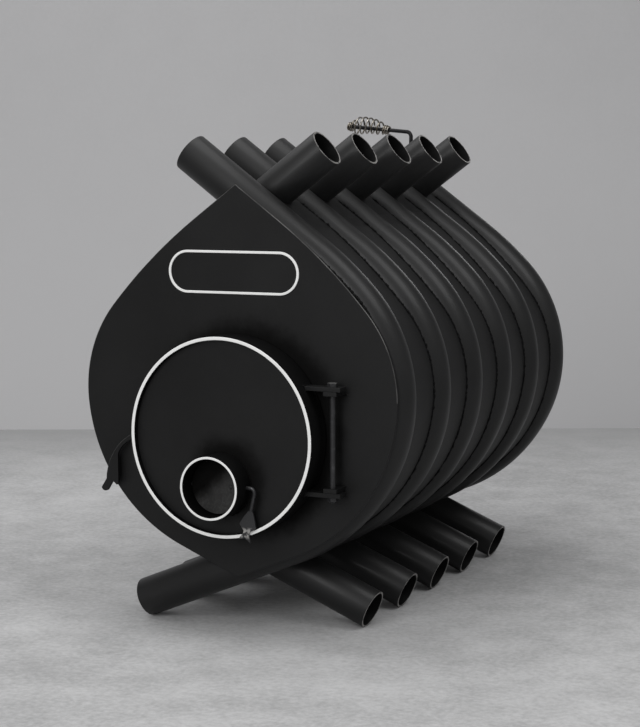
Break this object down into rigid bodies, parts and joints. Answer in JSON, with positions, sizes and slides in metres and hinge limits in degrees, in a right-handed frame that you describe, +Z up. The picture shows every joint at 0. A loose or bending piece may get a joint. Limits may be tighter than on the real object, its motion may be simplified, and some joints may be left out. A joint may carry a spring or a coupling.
{
  "type": "convection wood stove",
  "caption": "Free-standing convection wood stove: leaf-shaped firebox of crossed bent tubes, round hinged door with an air damper, and a rear flue stub with a crank damper.",
  "frame": {"origin": "on the floor, in the middle of the overall width and length", "axes": "+X to the stove's right seen from the front, +Y from the door to the flue, +Z up"},
  "size_m": [0.5176, 0.9568, 0.7494],
  "materials": {
    "black_enamel": "matte heat-resistant black enamel",
    "ground_edge_enamel": "matte black enamel with a white front edge",
    "bright_trim": "white enamel",
    "scaled_steel": "heat-scaled raw steel",
    "fastener_steel": "dulled zinc",
    "blackened_rod": "blackened steel rod",
    "spring_steel": "nickel-plated spring wire",
    "rope": "braided glass-fibre rope"
  },
  "bodies": {
    "stove": {"tube_right_1": "black_enamel", "tube_right_2": "black_enamel", "tube_right_3": "black_enamel", "tube_right_4": "black_enamel", "tube_right_5": "black_enamel", "tube_right_6": "black_enamel", "tube_left_1": "black_enamel", "tube_left_2": "black_enamel", "tube_left_3": "black_enamel", "tube_left_4": "black_enamel", "tube_left_5": "black_enamel", "shell_right_1": "black_enamel", "shell_right_2": "black_enamel", "shell_right_3": "black_enamel", "shell_right_4": "black_enamel", "shell_right_5": "black_enamel", "shell_left_1": "black_enamel", "shell_left_2": "black_enamel", "shell_left_3": "black_enamel", "shell_left_4": "black_enamel", "shell_left_5": "black_enamel", "shell_left_6": "black_enamel", "front_plate": "black_enamel", "rear_plate": "black_enamel", "badge_frame": "bright_trim", "baffle_plate": "scaled_steel", "secondary_air_nozzles": "scaled_steel", "door_collar": "black_enamel", "flue_stub": "black_enamel", "hinge_lug_upper": "black_enamel", "hinge_lug_lower": "black_enamel", "latch_keeper": "black_enamel"},
    "door": {"door_rim": "ground_edge_enamel", "door_disc": "black_enamel", "seal_ring": "scaled_steel", "rope_seal": "rope", "heat_shield": "scaled_steel", "shield_studs": "fastener_steel", "shield_nuts": "fastener_steel", "hinge_arm_upper": "black_enamel", "hinge_arm_lower": "black_enamel", "hinge_pin": "blackened_rod", "hinge_nut": "blackened_rod", "latch_lug": "black_enamel", "latch_bolt": "blackened_rod", "latch_nut": "blackened_rod", "air_pipe": "ground_edge_enamel"},
    "latch": {"latch_lever": "black_enamel"},
    "air_damper": {"air_damper_rod": "blackened_rod", "air_damper_handle": "blackened_rod", "air_damper_disc": "scaled_steel", "air_damper_rivets": "fastener_steel"},
    "flue_damper": {"flue_damper_crank": "blackened_rod", "flue_damper_disc": "scaled_steel", "flue_damper_rivets": "fastener_steel", "spring_grip": "spring_steel"}
  },
  "joints": [
    {"name": "door_swing", "type": "hinge", "parent": "stove", "child": "door", "pos_m": [0.1589, -0.41235, 0.2862], "axis": [0, 0, 1], "range_deg": [0, 120]},
    {"name": "latch_turn", "type": "hinge", "parent": "door", "child": "latch", "pos_m": [-0.1496, -0.40335, 0.2762], "axis": [0, -1, 0], "range_deg": [-12, 15]},
    {"name": "air_damper_turn", "type": "hinge", "parent": "door", "child": "air_damper", "pos_m": [0, -0.44935, 0.22], "axis": [-1, 0, 0], "range_deg": [0, 90]},
    {"name": "flue_damper_turn", "type": "hinge", "parent": "stove", "child": "flue_damper", "pos_m": [0, 0.41835, 0.50697], "axis": [-1, 0, 0], "range_deg": [0, 90]}
  ]
}
